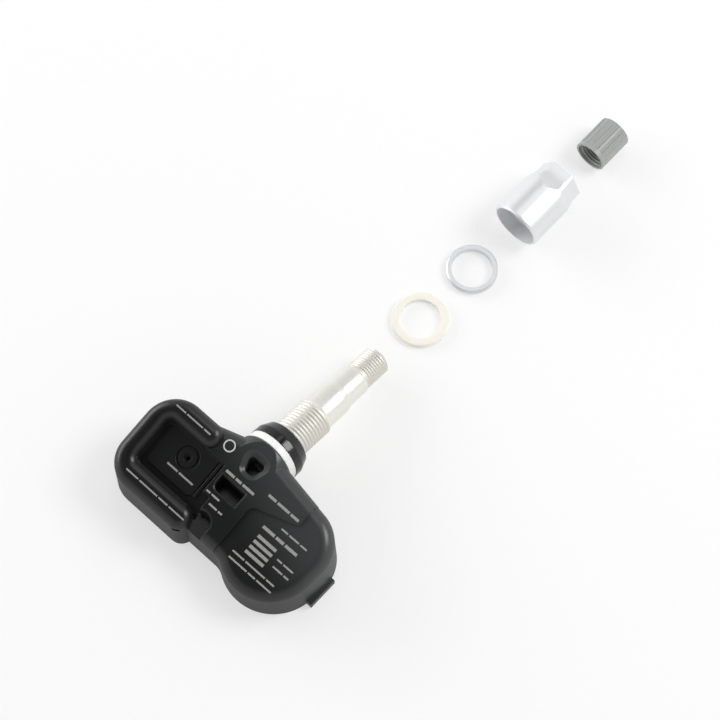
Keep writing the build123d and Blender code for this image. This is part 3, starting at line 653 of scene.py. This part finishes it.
def sloped_place(point_mm, climb, roll=0.0):
    """Matrix of a sloped face at a point on it: X along the face, Z out of it."""
    out = Vector((-math.tan(math.radians(roll)), -math.tan(math.radians(climb)), 1)).normalized()
    x = Vector((1, 0, math.tan(math.radians(roll)))).normalized()
    return Matrix.Translation(Vector(point_mm) * MM) @ Matrix((x, out.cross(x), out)).transposed().to_4x4()


def face_place(lift):
    """Place of the face over the origin, or of a plane that lies parallel to it."""
    slope = math.radians(FACE_CLIMB)
    return sloped_place((0, -lift * math.sin(slope), FACE_HEIGHT + lift * math.cos(slope)), FACE_CLIMB)


def up(y, climb=FACE_CLIMB):
    """Distance up a slope of a distance along Y."""
    return y / math.cos(math.radians(climb))


print("10 mm along Y are mm up the face:", round(up(10), 2))

# %% [markdown]
# ## Ring and bars
# The marks are drawn as outlines in mm. A row of bars is given by its ends and by the shares of its bars, which
# is shorter than a list of corners and easy to change.

# %% Ring and bars
BAR_GAP = 0.45  # mm between the bars of a row


def circle(x, y, radius, count=64):
    """Round outline about a point."""
    return [
        (x + radius * math.cos(math.tau * j / count), y + radius * math.sin(math.tau * j / count))
        for j in range(count)
    ]


def bars(start, end, y, height, shares):
    """Row of plain bars from start to end round a middle line; shares are the bars' lengths."""
    room = end - start - BAR_GAP * (len(shares) - 1)
    low, high = y - height / 2, y + height / 2
    made, x = [], start
    for share in shares:
        stop = x + room * share / sum(shares)
        made.append([(x, low), (stop, low), (stop, high), (x, high)])
        x = stop + BAR_GAP
    return made


print("a row of three bars:", len(bars(0, 10, 0, 0.5, (3, 2, 4))), "outlines")

# %% [markdown]
# ## Marks on face, arms, pad and panel
# The ring lies between the recess and the neck, and the bars run along the edges of the faces that carry them.
# All bars on one face could be pieces of their own, but a printing pad sets them down together, so they are one.

# %% Marks on face, arms, pad and panel
RING_MARK, RING_OUTER, RING_INNER = (-7.9, up(-0.77)), 1.6, 1.25  # middle and radii, mm
printed(
    "printed_ring_mark", [circle(*RING_MARK, RING_OUTER), circle(*RING_MARK, RING_INNER)],
    face_place(0.0), ink_white,
)
# each row of bars: start, end, place up the face, height, and the shares of its bars
printed(
    "printed_face_marks",
    bars(-4.5, 4.8, up(-5.6), 0.7, (3, 2, 4))
    + bars(-5.1, -0.8, up(-12.15), 0.5, (1, 2))
    + bars(-2.4, 2.0, up(-14.2), 0.5, (2, 1))
    + bars(7.7, 17.7, up(-3.3), 0.7, (2, 3, 2)),
    face_place(0.0), ink_thin,
)
printed(
    "printed_arm_marks",
    bars(-24.7, -13.1, up(-1.7), 0.4, (3, 5, 2)) + bars(-23.9, -4.2, up(-21.0), 0.4, (4, 6, 3, 5)),
    face_place(ARM_RAISE), ink_thin,
)
printed("printed_pad_marks", bars(-18.0, -9.3, up(-13.8), 0.5, (3, 4)), face_place(-PAD_DROP), ink_thin)
panel_rows = (
    bars(15.6, 24.0, 4.4, 0.45, (2, 3, 2)) + bars(11.6, 22.9, 1.9, 0.8, (3, 2, 3))
    + bars(19.7, 25.0, -1.9, 0.45, (1, 2)) + bars(20.0, 25.2, -3.9, 0.45, (2, 1))
    + bars(9.6, 23.5, -7.4, 0.45, (3, 5, 2)) + bars(9.8, 23.9, -9.1, 0.45, (5, 2, 4))
)
BLOCK_ROWS, BLOCK_TOP, BLOCK_STEP = 4, -0.6, 1.6  # plain block of bars, mm
panel_block = [
    bar for row in range(BLOCK_ROWS) for bar in bars(12.1, 18.2, BLOCK_TOP - BLOCK_STEP * row, 0.85, (1,))
]
printed(
    "printed_panel_marks",
    [[(x - PANEL_X, y) for x, y in bar] for bar in panel_rows + panel_block],
    sloped_place((PANEL_X, PANEL_Y, PANEL_HEIGHT), PANEL_CLIMB, PANEL_ROLL), ink_thin,
)

# %% [markdown]
# ## Softboxes
# One softbox behind the stem, on the right, gives the crisp highlight on rubber and metal and the soft shadows
# on the left. A long low one on the left brightens the left walls and the metal's left side, and a weak one,
# almost overhead, is what the flat ring and the nut's upper flat mirror. A sun lamp would be simpler, but its
# shadows are hard and metal shows it as a point.

# %% Softboxes
def softbox(name, way, distance, size, radiance):
    """Light of an even brightness, so wide and so high, that looks at the middle of the row."""
    lamp = bpy.data.lights.new(name, "AREA")
    lamp.shape = "RECTANGLE"
    lamp.size, lamp.size_y = size
    lamp.energy = radiance * math.pi * lamp.size * lamp.size_y
    thing = bpy.data.objects.new(name, lamp)
    way = Vector(way).normalized()
    thing.location = aim + way * distance
    thing.rotation_euler = way.to_track_quat("Z", "Y").to_euler()
    scene.collection.objects.link(thing)
    return thing


# way from the row, distance and size in metres, brightness
softbox("key_softbox", (0.42, 0.55, 0.72), 0.8, (0.36, 0.36), 7.3)
softbox("left_softbox", (-0.93, -0.25, 0.36), 0.7, (0.65, 0.3), 3.8)
softbox("top_softbox", (-0.24, 0.34, 0.9), 0.9, (0.4, 0.4), 1.5)

# %% [markdown]
# ## Light tent
# The row lies in a tent of white cloth. It is bright at its sides and dim overhead, where the camera looks in,
# so the black top faces stay dark while walls and round metal pick up the light. A ramp over the height of each
# way is enough for that, and needs no picture of a room.

# %% Light tent
SKY = ((0.01, 0.75), (0.2, 0.85), (0.6, 0.75), (0.8, 0.2), (0.95, 0.09))  # height of a way, brightness there
tent = bpy.data.worlds.new("light_tent")
tent.use_nodes = True
tent.node_tree.nodes.clear()
sky_way = add(tent.node_tree, "ShaderNodeTexCoord").outputs["Generated"]
sky_height = add(tent.node_tree, "ShaderNodeSeparateXYZ", wires={"Vector": sky_way}).outputs["Z"]
sky_light = add(tent.node_tree, "ShaderNodeValToRGB", wires={"Fac": sky_height})
stops = sky_light.color_ramp.elements
stops[0].position, stops[-1].position = 0.0, 1.0
for place, light in SKY:
    stop = stops.new(place)
    stop.color = (light, light, light, 1)
stops.remove(stops[0])
stops.remove(stops[-1])
sky = add(tent.node_tree, "ShaderNodeBackground", wires={"Color": sky_light.outputs["Color"]})
add(tent.node_tree, "ShaderNodeOutputWorld", wires={"Surface": sky.outputs["Background"]})
scene.world = tent
print("tones of the tent:", len(stops))

# %% [markdown]
# ## Bench
# The bench is a plain sheet of white paper. Where it is seen, directly or in a reflection, some plain white is
# mixed in. Stronger lamps could make it as white, but they would wash out the part; this way the light on the
# part stays plain, and its shadow stays on the paper.

# %% Bench
PAPER_GLOW = 0.55  # share of plain white where the paper is seen
BENCH_HALF = 2.0  # metres
BENCH_DROP = 0.05  # mm under the part, so that the two don't flicker
# matt white without a highlight
bench_paper = grained("matt_white_paper", "#f8f8f8", "#fcfcfc", 2.0, (0.85, 0.95))
paper = bench_paper.node_tree
ray = add(paper, "ShaderNodeLightPath").outputs
seen = ray["Is Camera Ray"]
for kind in ("Is Glossy Ray", "Is Transmission Ray"):
    either = add(paper, "ShaderNodeMath", {"operation": "MAXIMUM"}, wires={0: seen, 1: ray[kind]})
    seen = either.outputs["Value"]
share = add(paper, "ShaderNodeMath", {"operation": "MULTIPLY"}, {1: PAPER_GLOW}, {0: seen})
glow = add(paper, "ShaderNodeEmission", values={"Color": linear("#ffffff"), "Strength": 1.0})
lit = add(paper, "ShaderNodeMixShader", wires={
    0: share.outputs["Value"], 1: paper.nodes["body"].outputs["BSDF"], 2: glow.outputs["Emission"],
})
paper.links.new(lit.outputs["Shader"], paper.nodes["surface"].inputs["Surface"])
bench_mesh = bpy.data.meshes.new("bench")
corners = [(x * BENCH_HALF, y * BENCH_HALF, 0) for x, y in ((-1, -1), (1, -1), (1, 1), (-1, 1))]
bench_mesh.from_pydata(corners, [], [(0, 1, 2, 3)])
bench_mesh.materials.append(bench_paper)
bench = bpy.data.objects.new("bench", bench_mesh)
bench.location.z = -BENCH_DROP * MM
scene.collection.objects.link(bench)
scene.view_settings.view_transform = "Standard"
print("bench in metres:", 2 * BENCH_HALF)
